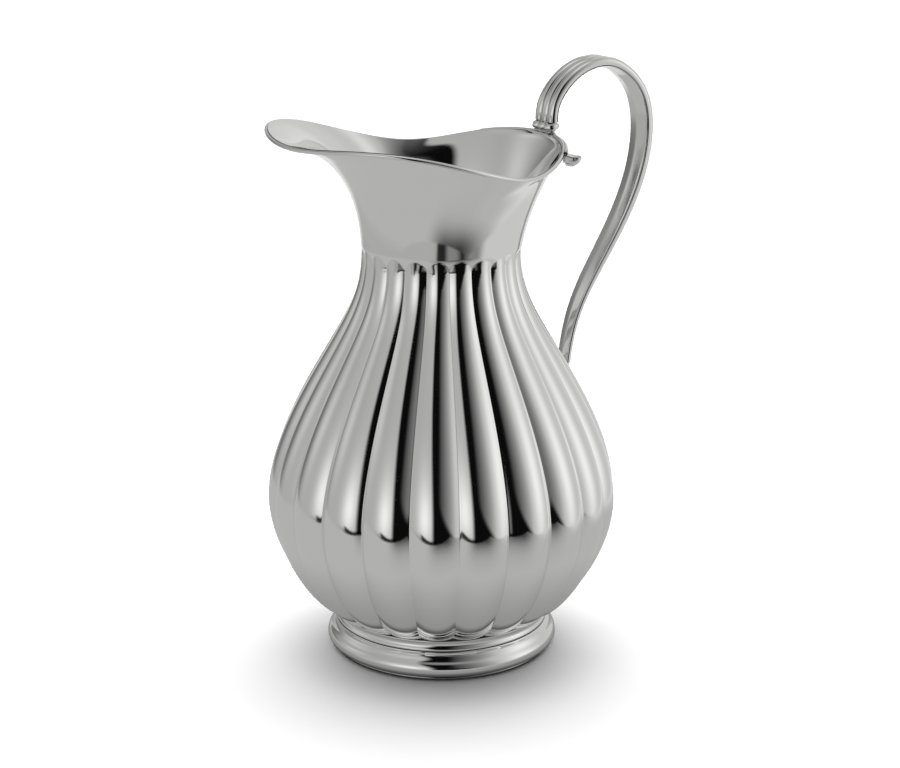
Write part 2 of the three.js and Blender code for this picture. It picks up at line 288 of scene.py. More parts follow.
# For each slot: its roughness, and how its polishing marks are drawn out. They run round the body and the
# foot, and along the handle.
GLOSS = {"body_silver": 0.045, "foot_silver": 0.05, "mount_silver": 0.07, "handle_silver": 0.06}
GRAIN = {
    "body_silver": (1, 1, 9), "foot_silver": (1, 1, 9),
    "mount_silver": (3, 3, 3), "handle_silver": (1, 7, 1),
}
CLOUD_SIZE, GRAIN_SIZE, HAIR_SIZE = 38, 620, 240  # features per metre
HAIR_STRETCH = (0.5, 4, 1.4)
HAIRLINE = (0.0015, 0.007)  # distance from the noise's middle over which a hairline fades
WORN = (0.5, 0.68)  # cloud levels between which hairlines appear
MARKED = (0.55, 0.8)  # grain levels between which polishing marks dull the gloss
CREASE_REACH = 0.003  # metres over which neighbouring metal keeps the polishing cloth away, and over which a crease gets painted shade
CREASE_OPEN = (0.25, 0.88)  # openness between which the haze and the painted shade in the creases fade
# How much each of these darkens the silver, and how much it adds to the roughness.
# the darkening in the creases is painted shade
CREASE_PAINTED_SHADE, CREASE_ROUGH = 0.8, 0.12
SCRATCH_DARK, SCRATCH_ROUGH = 0.02, 0.1
CLOUD_DARK, CLOUD_ROUGH = 0.012, (0.7, 1.3)  # the last as a share of the gloss
MARK_ROUGH = 0.03
BUMP_STRENGTH, BUMP_DEPTH = 0.05, 0.00005


def silver(slot):
    """Hand-polished silver: a mirror with faint polishing marks, hairlines, and haze with painted shade in
    its creases.
    """
    material = bpy.data.materials.new(slot)
    material.use_nodes = True
    tree = material.node_tree
    shader = tree.nodes["Principled BSDF"]
    place = tree.nodes.new("ShaderNodeTexCoord").outputs["Object"]
    cloud = noise(tree, place, CLOUD_SIZE, 3)
    grain = noise(tree, place, GRAIN_SIZE, 4, GRAIN[slot])
    hair = noise(tree, place, HAIR_SIZE, 2, HAIR_STRETCH)
    scratch = (1 - step_up(abs(hair - 0.5), *HAIRLINE)) * step_up(cloud, *WORN)
    # painted shade: occlusion darkens the silver where neighbouring metal closes in, and makes it hazier
    # there
    hidden = tree.nodes.new("ShaderNodeAmbientOcclusion")
    hidden.inputs["Distance"].default_value = CREASE_REACH
    crease = 1 - step_up(Field(tree, hidden.outputs["AO"]), *CREASE_OPEN)
    colour = tree.nodes.new("ShaderNodeCombineColor")
    # the crease term paints shade into the colour; the cloud and the hairlines are the metal's own tone and
    # wear
    shade = 1 - CREASE_PAINTED_SHADE * crease - CLOUD_DARK * cloud - SCRATCH_DARK * scratch
    for channel, level in enumerate(SILVER[slot]["base_color"]):
        plug(tree, shade * level, colour.inputs[channel])
    tree.links.new(colour.outputs[0], shader.inputs["Base Color"])
    shader.inputs["Metallic"].default_value = 1
    rough = GLOSS[slot] * blend(*CLOUD_ROUGH, cloud) + MARK_ROUGH * step_up(grain, *MARKED)
    rough = rough + SCRATCH_ROUGH * scratch + CREASE_ROUGH * crease
    plug(tree, rough, shader.inputs["Roughness"])
    bump = tree.nodes.new("ShaderNodeBump")
    bump.inputs["Strength"].default_value = BUMP_STRENGTH
    bump.inputs["Distance"].default_value = BUMP_DEPTH
    plug(tree, grain - scratch, bump.inputs["Height"])
    tree.links.new(bump.outputs[0], shader.inputs["Normal"])
    return material


# ---- Body ----


def arc_share(place):
    """How far a lobe's arc lies inside its crest, as a share of the valley's depth.

    The place is counted across the lobe: 0 on the crest and 1 in the valley.
    """
    place = np.minimum(place, LOBE_HELD)
    valley = valley_ratio()
    arc = valley * math.sin(HALF_LOBE) / math.sin(LOBE_EDGE)
    centre = 1 - arc
    turn = place * HALF_LOBE
    radius = centre * np.cos(turn) + np.sqrt(arc**2 - (centre * np.sin(turn)) ** 2)
    return (1 - radius) / (1 - valley)


def valley_ratio():
    """Radius of the valleys over the radius of the crests."""
    return 1 / (math.cos(HALF_LOBE) + math.sin(HALF_LOBE) * math.tan(LOBE_EDGE / 2))


def arch_share(rise):
    """Depth of the arches' outline at a height over their springing, as a share of the valley's depth."""
    return 1 - smoothstep(*ARCH_FADE, rise)


def lobe_inset(radius, height, angle):
    """How far the lobed surface lies inside the plain surface through the crests."""
    from_crest = np.mod(angle, 2 * HALF_LOBE) - HALF_LOBE
    rise = np.maximum((height - (ARCH_TOP - ARCH_HEIGHT)) / ARCH_HEIGHT, 0)
    place = np.hypot(from_crest / HALF_LOBE, rise)
    lift = rise / np.maximum(place, 1e-9)
    bottom = np.where(height < LOBE_BOTTOM_Z, smoothstep(*LOBE_BOTTOM_R, radius), 1)
    full = radius * (1 - valley_ratio()) * bottom
    between = full * arch_share(rise)
    lobe = full * arch_share(lift) * arc_share(place)
    soft = CREASE * arch_share(rise) * bottom
    return (lobe + between - np.sqrt((lobe - between) ** 2 + soft**2)) / 2


def lobe_angles(steps):
    """Angles round the body, closer together near the valleys."""
    share = np.sin(np.linspace(-HALF_TURN / 2, HALF_TURN / 2, steps + 1))[:-1]
    return np.concatenate([(2 * k + 1 + share) * HALF_LOBE for k in range(LOBES)])


def rim_at(angle):
    return cosine_sum(RIM_RADIUS, angle), cosine_sum(RIM_HEIGHT, angle)


def neck_profile(t, angle):
    """Radius and height of the neck's outer face: t from the narrowest ring to the lip's edge.

    The neck curls over into the spout, and towards the handle it opens as a straight cone with a turned-out
    lip.
    """
    slope = np.radians(cosine_sum(LIP_SLOPE, angle))
    out = np.stack([np.cos(slope), np.sin(slope)])
    reach = LIP_REACH + LIP_SPOUT_REACH * ((1 + np.cos(angle)) / 2) ** LIP_POWER
    rim = np.stack(rim_at(angle))
    cone = smoothstep(*CONE_TURN, -np.cos(angle))
    start = np.array(CREST[-1]).reshape(2, 1, 1)
    guide = start + np.array([0, NECK_RISE]).reshape(2, 1, 1)
    before = rim - (LIP_SETBACK + reach) * out
    end = rim - LIP_TUCK * out
    corner_z = rim[1] - LIP_DROP
    corner = np.stack([CONE[0] + (corner_z - CONE[1]) / math.tan(CONE_SLOPE), corner_z])
    shoulder = blend((guide + before) / 2, corner, cone)
    lip = blend((3 * before + end) / 4, blend(end, corner, CONE_LIP), cone)
    controls = (start, (start + 3 * guide) / 4, shoulder, lip, end)
    weights = [blend(1, weight, cone) for weight in CONE_WEIGHTS]
    shares = [weight * math.comb(4, k) * t**k * (1 - t) ** (4 - k) for k, weight in enumerate(weights)]
    return sum(share * control for share, control in zip(shares, controls)) / sum(shares)


def body_grid():
    """The body's outer face from the middle of the bottom to the lip, and the row of the neck's seam."""
    angles = lobe_angles(LOBE_COLUMNS)
    crest = Spline(CREST, (1, 0), (0, 1))
    low, arch, end = crest.length * BOTTOM_SHARE, crest.length - ARCH_ZONE, crest.length
    places = np.concatenate([
        np.linspace(1, low, BOTTOM_ROWS, endpoint=False),
        np.linspace(low, arch, SIDE_ROWS, endpoint=False),
        np.linspace(arch, end, ARCH_ROWS, endpoint=False),
    ])
    outline = crest.at(places)
    ts = np.concatenate([np.linspace(0, SEAM, SEAM_ROWS, endpoint=False), np.linspace(SEAM, 1, NECK_ROWS)])
    neck_r, neck_z = neck_profile(ts[:, None], angles[None, :])
    radius = np.vstack([np.repeat(outline[:, :1], len(angles), axis=1), neck_r])
    height = np.vstack([np.repeat(outline[:, 1:], len(angles), axis=1), neck_z])
    radius = radius - lobe_inset(radius, height, angles[None, :])
    return around(radius, angles[None, :], height), len(places) + SEAM_ROWS


def steadied(points, normals):
    """Normals of the neck's outer face that keep to a steady slope on its sides, up to the lip."""
    out = np.hypot(normals[..., 0], normals[..., 1])
    fall = -normals[..., 2]
    radius = np.hypot(points[..., 0], points[..., 1])
    limit = (STEADY_FALL + STEADY_GAIN * (radius - STEADY_RADIUS)) * out
    calm = (fall + limit - np.hypot(fall - limit, STEADY_SOFT * out)) / 2
    side = 1 - smoothstep(*STEADY_SPOUT, -normals[..., 0] / np.maximum(out, 1e-9))
    side = side * smoothstep(*STEADY_START, fall / np.maximum(out, 1e-9))
    steady = normals.copy()
    steady[..., 2] = -blend(fall, calm, side)
    return unit(steady)


def make_body():
    outer, seam = body_grid()
    normals = grid_normals(outer)
    inner = outer - WALL * normals
    belly = np.concatenate([outer[:seam + 1], inner[seam::-INNER_STEP], inner[:1]])
    belly_normals = np.concatenate([normals[:seam + 1], -normals[seam::-INNER_STEP], -normals[:1]])
    ends = np.array([[0, 0, -1], [0, 0, 1]], float)  # for the middles of the two caps
    skin(
        "belly_lobed", belly, "body_silver", ["belly"],
        normals=np.vstack([belly_normals.reshape(-1, 3), ends]),
    )
    neck = np.concatenate([outer[seam:], inner[:seam - 1:-1]])
    steady = steadied(outer[seam:], normals[seam:])
    neck_normals = np.concatenate([steady, -steady[::-1]])
    skin(
        "neck_flared", neck, "body_silver", ["neck_and_lip"], wrap=True,
        normals=neck_normals.reshape(-1, 3),
    )


def swept(centres, out, sides, section):
    """A grid of points that sweeps a section round a closed line.

    The section gives the distances outwards and up at turns round it.
    """
    along = unit(np.roll(centres, -1, axis=0) - np.roll(centres, 1, axis=0))
    out = unit(out - along * np.sum(out * along, axis=1, keepdims=True))
    up = np.cross(along, out)
    up = up * np.sign(up[:, 2:])
    turns = np.linspace(0, FULL_TURN, sides, endpoint=False)
    across, rise = section(turns)
    return centres[:, None] + out[:, None] * across[None, :, None] + up[:, None] * rise[None, :, None]


def make_rim_wire():
    angles = np.linspace(0, FULL_TURN, RIM_STEPS, endpoint=False)
    rim_r, rim_z = rim_at(angles)
    centres = around(rim_r, angles, rim_z)
    points = swept(
        centres, around(1, angles, 0), WIRE_SIDES,
        lambda turn: (RIM_WIRE * np.cos(turn), RIM_WIRE * np.sin(turn)),
    )
    skin("rim_wire_round", points, "mount_silver", ["rim_wire"], wrap=True)


# ---- Foot ----

COVE = [  # from under the belly out to the crease: a small roll, then a hollow
    (44.6, 16.6), (46.1, 17.6), (46.7, 17.2), (46.5, 16.2),
    (46.4, 15.3), (46.7, 14.3), (47.1, 13.5), (46.9, 12.8),
]
COVE_BACK = [(43.2, 12.6), (43.2, 16.2)]
APRON = [  # from the crease over the bulge to the base wire
    (47.0, 12.4), (48.1, 11.4), (49.4, 9.2), (50.6, 7.6),
    (51.3, 5.6), (51.2, 3.8), (50.2, 2.4), (48.3, 1.5),
]
APRON_SHEET = 1.4
APRON_INSIDE = (1.9, 12)  # lowest and highest place of its inner face
COVE_STEPS, APRON_STEPS = 48, 64
BASE_WIRE = [(45.6, 0), (47.9, 0), (48.25, 0.15), (48.4, 0.6), (48.3, 1.1), (47.9, 1.5), (45.6, 1.5)]


def make_foot():
    cove = Spline(COVE, (1, 0.8), (-1, -0.6)).evenly(COVE_STEPS).tolist()
    turned("foot_cove_collar", cove + COVE_BACK, "foot_silver", ["foot_cove"])
    face = Spline(APRON, (1, -2), (-1, -0.2)).evenly(APRON_STEPS)
    inside = face + APRON_SHEET * np.array([[-1, 0]])
    inside[:, 1] = np.clip(inside[:, 1], *APRON_INSIDE)
    turned("foot_apron_bulge", face.tolist() + inside[::-2].tolist(), "foot_silver", ["foot_apron"])
    turned("foot_base_ring", BASE_WIRE, "foot_silver", ["foot_base_wire"])


# ---- Handle ----

HANDLE_STATIONS = 260
REEDS = 3
REED_HEIGHT = 1.2
REED_SPAN = 0.94  # half width of a reed over the radius of its round face
REED_STEPS = 9
# Places in a section, as (share of the half width, share of the half thickness, mm further out).
ROLL_FOOT = 0.12  # share of the half thickness at which the outer reeds have rolled over
REED_SIDE = [(1, -0.15, 0), (0.995, -0.34, 0), (0.97, -0.4, 0), (0.9, -0.42, 0)]
BEVEL_SIDE = [(0.9, -0.46, 0), (0.97, -0.47, 0), (1, -0.5, 0), (1, -0.54, 0), (0.985, -0.57, 0)]
BEVEL_PLACES = (0.93, 0.75, 0.5, 0.25, 0.06)
BEVEL_SHARES = (-0.58, -1)  # at the edge and at the ridge
BEVEL_POWER = 0.95
BEVEL_RIDGE = (0, -1, 0.04)

handle_curve = Spline(HANDLE_LINE, (0, 1), (-0.12, -1))


def spread(values, share):
    """Values at shares of the handle's length, from a list of evenly spread ones, joined smoothly."""
    at = np.linspace(0, handle_curve.length, len(values))
    line = Spline(np.stack([at, values], axis=1), (1, 0), (1, 0))
    return line.at(share * line.length)[:, 1]


def handle_stations(shares):
    """Middles, directions out of the loop, half widths and half thicknesses at shares of the handle."""
    places = shares * handle_curve.length
    step = 0.05
    middle = handle_curve.at(places)
    along = unit(handle_curve.at(places + step) - handle_curve.at(places - step))
    centres = np.stack([middle[:, 0], np.zeros(len(middle)), middle[:, 1]], axis=1)
    out = np.stack([-along[:, 1], np.zeros(len(middle)), along[:, 0]], axis=1)
    return centres, out, spread(HANDLE_WIDTH, shares) / 2, spread(HANDLE_THICKNESS, shares) / 2


def strap(name, section, nodes):
    """A half of the handle, from its section.

    The section is a list of (share of the half width, share of the half thickness, mm further out).
    """
    centres, out, half_width, half_thickness = handle_stations(np.linspace(0, 1, HANDLE_STATIONS))
    across, share, rise = np.array(section).T
    points = (
        centres[:, None]
        + out[:, None] * (half_thickness[:, None] * share[None] + rise[None])[..., None]
        + np.array([0, 1, 0]) * (half_width[:, None] * across[None])[..., None]
    )
    skin(name, points, "handle_silver", nodes, sharp=50)


def reed_rise(place):
    """How far out a reed's face lies from its crown, in mm, for places from -1 to 1 across it."""
    return REED_HEIGHT * (math.sqrt(1 - (REED_SPAN * place) ** 2) - 1) / (1 - math.sqrt(1 - REED_SPAN**2))


def reeds():
    """The reeded half: reeds of equal width, the outer two rolling over onto the handle's sides."""
    middle = [(place / REEDS, 1, reed_rise(place)) for place in np.linspace(0, 1, REED_STEPS)]
    outer = [((REEDS - 1 + place) / REEDS, 1, reed_rise(place))
             for place in np.linspace(-1, 0, REED_STEPS)[1:]]
    roll = [((REEDS - 1 + math.sin(turn)) / REEDS, blend(ROLL_FOOT, 1, math.cos(turn)), 0)
            for turn in np.linspace(0, HALF_TURN / 2, REED_STEPS + 1)[1:]]
    right = middle + outer + roll + REED_SIDE
    return [(-across, share, rise) for across, share, rise in right[:0:-1]] + right


def bevels():
    """The inner half: two shallow bevels that meet in a ridge."""
    edge, ridge = BEVEL_SHARES
    slope = [(place, blend(edge, ridge, (1 - place) ** BEVEL_POWER), 0) for place in BEVEL_PLACES]
    half = BEVEL_SIDE + slope
    return half + [BEVEL_RIDGE] + [(-across, share, rise) for across, share, rise in half[::-1]]


def make_handle():
    strap("handle_reeds", reeds(), ["handle_reeded_strap"])
    strap("handle_inner_face", bevels(), ["handle_inner_strap"])


# Powers below 1 square the root band's plan, across and in depth, and round its beads.
PLAN_POWERS = (0.7, 0.55)
BEADS = 3
BEAD_POWER, BEAD_END_POWER = 0.6, 0.3
# Levels of the root band, as (height share, half width, half depth, depth of the beads): a flare that
# spreads over the rim, a waist, the three beads, and the step up to the reeds.
BAND_LEVELS = [
    (0, 10.2, 2.5, 0), (0.06, 9.4, 2.5, 0), (0.14, 8.0, 2.1, 0),
    (0.22, 7.0, 1.7, 0.2), (0.28, 6.7, 1.6, 0.5), (0.34, 7.0, 1.7, 1.0),
    (0.42, 7.4, 1.95, 1.5), (0.52, 7.5, 2.1, 1.7), (0.62, 7.5, 2.15, 1.7), (0.72, 7.5, 2.1, 1.6),
    (0.82, 7.3, 1.9, 1.3), (0.89, 6.9, 1.65, 0.6), (0.94, 6.7, 1.6, 0.2), (1, 6.8, 1.9, 0.1),
]
BAND_SINK, BAND_OVERLAP = 0.3, 0.2  # how far it reaches below the rim and over the straps
BAND_OUT = 0.4  # from the rim's middle out to the band's
BAND_WRAP = 1.2  # how fully its flare follows the curve of the rim
BAND_STEPS = 60


def plan_ring(half_width, half_depth, scallop, count=96):
    """A rounded plan outline whose front and back swell in beads, as (outwards, across)."""
    turns = np.linspace(0, FULL_TURN, count, endpoint=False)
    width_power, depth_power = PLAN_POWERS
    across = half_width * np.sign(np.cos(turns)) * np.abs(np.cos(turns)) ** width_power
    depth = half_depth * np.sign(np.sin(turns)) * np.abs(np.sin(turns)) ** depth_power
    bead = np.abs(np.cos(BEADS / 2 * HALF_TURN * across / half_width)) ** BEAD_POWER
    return depth + np.sign(depth) * scallop * bead * np.abs(np.sin(turns)) ** BEAD_END_POWER, across


def make_root_band():
    rim_r, rim_z = rim_at(HALF_TURN)
    top_x, top_z = HANDLE_LINE[0]
    low, high = rim_z - BAND_SINK, top_z + BAND_OVERLAP
    low_x = rim_r + BAND_OUT
    levels = Spline(BAND_LEVELS, (1, -8, 0, 0), (1, 0, 0, 0)).evenly(BAND_STEPS)
    rings = []
    for share, half_width, half_depth, scallop in levels:
        depth, across = plan_ring(half_width, half_depth, scallop)
        # the flare follows the curve of the rim
        bend = (1 - share) ** 2 * across**2 / (2 * rim_r) * BAND_WRAP
        drop = (1 - share) ** 3 * (rim_z - rim_at(HALF_TURN - across / rim_r)[1])
        x = blend(low_x, top_x, share) + depth - bend
        rings.append(np.stack([x, across, blend(low, high, share) - drop], axis=1))
    skin("handle_beads", np.array(rings), "mount_silver", ["handle_root_band"])


HEEL_HEIGHT, HEEL_HALF_WIDTH, HEEL_HALF_LENGTH = 116.5, 5.6, 8.2
HEEL_LAYERS = ((-0.5, 1), (0.25, 1), (0.7, 0.96), (0.95, 0.88), (1.1, 0.76))  # lift off the lobes, size
HEEL_STALK = (0.25, 0.5, 0.75, 1)  # shares of the way from the pad to the handle's end
HEEL_WAIST, HEEL_WAIST_POWER = 0.35, 1.4
HEEL_SIDES, CREST_STEPS = 72, 800


def make_heel():
    """The heel: an oval pad that lies on the lobes and rises to the handle's end."""
    crest = Spline(CREST, (1, 0), (0, 1)).evenly(CREST_STEPS)
    turns = np.linspace(0, FULL_TURN, HEEL_SIDES, endpoint=False)
    end_centre, end_out, end_width, end_thickness = (end[0] for end in handle_stations(np.array([1.0])))
    top = end_centre - end_out * (np.sin(turns) * end_thickness)[:, None]
    top[:, 1] = end_width * np.cos(turns)
    rings = []
    for lift, size in HEEL_LAYERS:
        across = HEEL_HALF_WIDTH * size * np.cos(turns)
        height = HEEL_HEIGHT + HEEL_HALF_LENGTH * size * np.sin(turns)
        radius = np.interp(height, crest[:, 1], crest[:, 0])
        angle = HALF_TURN - np.arcsin(across / radius)
        inset = lobe_inset(radius, height, angle) * size
        rings.append(around(radius - inset + lift, angle, height))
    pad = rings[-1]
    for share in HEEL_STALK:
        waist = HEEL_WAIST * (share**HEEL_WAIST_POWER - share)
        rings.append(blend(pad, top, share) + (pad.mean(axis=0) - pad) * waist)
    skin("handle_heel_pad", np.array(rings), "mount_silver", ["handle_heel"])


# ---- Rim brackets ----

ARM_FROM, ARM_TO = math.radians(7), math.radians(40)
ARM_STEPS, ARM_SIDES = 60, 24
# Along a strip, from the root to its leaf: its middle's place from the rim's, and its half sizes.
ARM_OUT, ARM_DROP = (0.75, 1.05), (0.5, 0.9)
ARM_THICK, ARM_TALL = (0.85, 1.2), (1.15, 1.9)
ARM_WIDENS = (0.2, 1)
LEAF_REACH = 7.7
LEAF_STEPS, LEAF_SIDES = 48, 25
LEAF_SINK = 0.2  # from the rim's middle out to the leaf's root
LEAF_LIP = 0.86  # width of the hollow over the leaf's
LEAF_ROUND = 0.9  # a power below 1 fills out the leaf's underside
# Stations of a scroll leaf, as (share of its reach, top edge, bottom, half width, depth of the hollow).
LEAF_STATIONS = [
    (0, 0.1, -3.8, 2.6, 0), (0.14, 0.0, -4.6, 2.9, 0), (0.3, -0.3, -5.3, 3.1, 0.05),
    (0.5, -0.7, -5.3, 3.1, 0.3), (0.7, -0.9, -4.7, 2.9, 0.8), (0.85, -1.0, -3.9, 2.4, 0.8),
    (0.95, -1.15, -3.0, 1.6, 0.4), (1, -1.4, -2.3, 0.8, 0.1),
]


def make_arm(side, name, node):
    """A strip along the outside of the rim that widens towards its leaf."""
    angles = HALF_TURN + side * np.linspace(ARM_FROM, ARM_TO, ARM_STEPS)
    share = np.linspace(0, 1, ARM_STEPS)
    rim_r, rim_z = rim_at(angles)
    centres = around(rim_r + blend(*ARM_OUT, share), angles, rim_z - blend(*ARM_DROP, share))
    along = unit(np.gradient(centres, axis=0))
    out = around(1.0, angles, 0)
    out = unit(out - along * np.sum(out * along, axis=1, keepdims=True))
    up = np.cross(along, out)
    up = up * np.sign(up[:, 2:])
    turns = np.linspace(0, FULL_TURN, ARM_SIDES, endpoint=False)
    thick = blend(*ARM_THICK, smoothstep(0, 1, share))
    tall = blend(*ARM_TALL, smoothstep(*ARM_WIDENS, share))
    points = (
        centres[:, None]
        + out[:, None] * (thick[:, None] * np.cos(turns))[..., None]
        + up[:, None] * (tall[:, None] * np.sin(turns))[..., None]
    )
    skin(name, points, "mount_silver", [node])


def make_leaf(side, name, node):
    """A cupped leaf that leaves the rim outwards at the strip's end, hollow on top and thin at its tip."""
    angle = HALF_TURN + side * ARM_TO
    rim_r, rim_z = rim_at(angle)
    out = around(1.0, angle, 0.0)
    across = np.array([-out[1], out[0], 0])
    root = around(rim_r + LEAF_SINK, angle, rim_z)
    stations = Spline(LEAF_STATIONS, (1, 0, 0, 0, 0), (1, 0, -10, -10, 0)).evenly(LEAF_STEPS)
    turns = np.linspace(0, HALF_TURN, LEAF_SIDES)
    rings = []
    for share, top, bottom, half_width, hollow in stations:
        under = blend(top, bottom, np.sin(turns) ** LEAF_ROUND)
        outer = np.stack([-half_width * np.cos(turns), under], axis=1)
        lip = LEAF_LIP * half_width
        inner = np.stack([lip * np.cos(turns[1:-1]), top - hollow * np.sin(turns[1:-1])], axis=1)
        ring = np.vstack([outer, inner])
        points = root + out * LEAF_REACH * share + ring[:, :1] * across
        points[:, 2] += ring[:, 1]
        rings.append(points)
    skin(name, np.array(rings), "mount_silver", [node], sharp=60)


# ---- Studio ----

CAMERA_FROM_AXIS = np.array([-457.3, -778.1, 382.1])  # from the foot of the axis, in mm
CAMERA_PITCH = math.radians(16.22)
CAMERA_YAW = math.radians(0.24)
CAMERA_LENS = 85.58
SENSOR = 36

SILVER_WHITE = 0.88  # share of the light that the silver sends back
LIGHT_TILT = 22  # degrees by which the light over the table leans away from the camera
LIGHT_FOCUS = 3
FLOOR_LIGHT = 1.36

FLOOR_HALF = 6.0
FLOOR_WHITE = 0.92
# The table as the silver sees it: a glow with painted shade under the pitcher and towards the camera, and
# painted light on its right. Azimuths are in degrees to the right of the photographer's camera, and reaches
# in metres from the axis.
FLOOR_MIRRORED = 176  # display grey of the open table
BELLY_SHADE, BELLY_SHADE_REACH = 0.4, (0.04, 0.13)
FOOT_SHADE, FOOT_SHADE_REACH = 0.75, (0.049, 0.058)
DARK, DARK_FROM, DARK_TO, DARK_REACH = 0.9, (-25, 5), (25, 70), (0.1, 0.42)
LIT, LIT_FROM, LIT_REACH = 0.5, (60, 90), (0.2, 0.34)
EDGE_HEADING = math.radians(-10)  # the near edge lies square to this azimuth
NEAR_EDGE, RIGHT_EDGE, FAR_EDGE = (0.335, 0.36), (0.28, 0.32), (0.42, 0.6)

# The tent as the silver sees it. Walls are display greys, and patches on them are (azimuth, half width,
# elevation, half height) in degrees, each with the light that it adds.
LEFT_WALL, RIGHT_WALL = 169, 172
LEFT_LAMP, LEFT_LAMP_GREY = (-33, 15.5, 4, 12.5), 238
FAR_LAMP, FAR_LAMP_LIGHT = (-100, 10, 21, 11), 0.17
FAR_LAMP_LEAN, FAR_LAMP_PIVOT = 0.45, 20  # it leans right above this elevation, and left below
REAR_DULL, REAR_DULL_LIGHT = (-138, 13, 0, 12), -0.25
HIGH_DULL, HIGH_DULL_LIGHT = (-122, 26, 38, 11), -0.22
RIGHT_LAMP, RIGHT_LAMP_LIGHT = (88, 16, 10, 26), 0.44
RIGHT_REAR, RIGHT_REAR_LIGHT = (95, 150), 0.15
RIGHT_CLEAR, RIGHT_CURVE = 60, 1.5  # azimuth of the right wall's full brightness, and the climb to it
SHADE_EDGE, SHADE_EDGE_MOST, SHADE_SOFT = 6, 57, (-3, 12)  # where the shade beside the opening ends
SHADE_HEIGHT, SHADE_SPREAD, SHADE_CURVE = 15, 0.6, 1.3  # and how that edge moves right towards the table
OPENING_EDGE, OPENING_LEAN, OPENING_SOFT = -6, 0.0075, (-9, 3)
OPENING_GLOW = 0.00318
SLOPE_SPAN = (-50, -14)  # azimuths between which the strip and what lies below it move down
STRIP_FROM, STRIP_TO, STRIP_DEPTH, STRIP_SLOPE = (-50, -38), (-5, 5), (6, 8.5), 4.5
STRIP_DARK = 0.985
FOLD_FROM, FOLD_TO, FOLD_HEIGHT, FOLD_DARK = (-80, -50), (-46, -36), (-11.5, 2), 0.4
LOW_LEFT, LOW_MIDDLE, LOW_RIGHT = 168, 128, 196  # display greys
LOW_MIDDLE_FROM, LOW_RIGHT_FROM, LOW_DEPTH, LOW_SLOPE = (-16, 8), (50, 66), (9, 17), 4
GAP_FROM, GAP_TO, GAP_DARK = (-9, -4), (3, 12), 0.93
SLIT, SLIT_DARK = (31, 4.5), 0.9
TOP_GREY, TOP_FROM = 170, (45, 62)
CROWN_GREY, CROWN_FROM = 222, (68, 82)
BEHIND_GREY, BEHIND_FROM, BEHIND_TOP = 216, (146, 164), (-2, 8)  # the background behind the pitcher


class Field:
    """A number worked out by nodes, so that a formula in Python becomes the same formula in a shader."""

    def __init__(self, tree, socket):
        self.tree = tree
        self.socket = socket

    def math(self, operation, *others):
        node = self.tree.nodes.new("ShaderNodeMath")
        node.operation = operation
        for place, value in zip(node.inputs, (self, *others)):
            plug(self.tree, value, place)
        return Field(self.tree, node.outputs[0])

    def __add__(self, other):
        return self.math("ADD", other)

    def __sub__(self, other):
        return self.math("SUBTRACT", other)

    def __mul__(self, other):
        return self.math("MULTIPLY", other)

    def __truediv__(self, other):
        return self.math("DIVIDE", other)

    def __neg__(self):
        return self * -1

    def __rsub__(self, other):
        return -self + other

    __radd__ = __add__
    __rmul__ = __mul__

    def __pow__(self, power):
        return self.math("POWER", power)

    def __abs__(self):
        return self.math("ABSOLUTE")

    def over(self, low):
        return self.math("MAXIMUM", low)

    def under(self, high):
        return self.math("MINIMUM", high)


def plug(tree, value, place):
    if isinstance(value, Field):
        tree.links.new(value.socket, place)
    else:
        place.default_value = value


def step_up(value, low, high):
    """0 below low, 1 above high, and smooth between."""
    node = value.tree.nodes.new("ShaderNodeMapRange")
    node.interpolation_type = "SMOOTHSTEP"
    for name, number in (("Value", value), ("From Min", low), ("From Max", high)):
        plug(value.tree, number, node.inputs[name])
    return Field(value.tree, node.outputs[0])


def bell(value, centre, width):
    """1 at the centre, falling off softly on both sides."""
    away = (value - centre) / width
    return (away * away * -0.5).math("EXPONENT")


def patch(azimuth, elevation, place):
    """1 in the middle of a soft oval on the tent, falling off all round."""
    middle, half_width, height, half_height = place
    return bell(azimuth, middle, half_width) * bell(elevation, height, half_height)


def grey(level):
    """Linear brightness of a display grey level between 0 and 255."""
    return ((level / 255 + 0.055) / 1.055) ** 2.4


def split(tree, vector):
    """The three parts of a vector socket."""
    node = tree.nodes.new("ShaderNodeSeparateXYZ")
    tree.links.new(vector, node.inputs[0])
    return [Field(tree, output) for output in node.outputs]


def ray_kind(tree, name):
    """1 on rays of one kind, such as Is Camera Ray."""
    node = tree.nodes.new("ShaderNodeLightPath")
    return Field(tree, node.outputs[name])


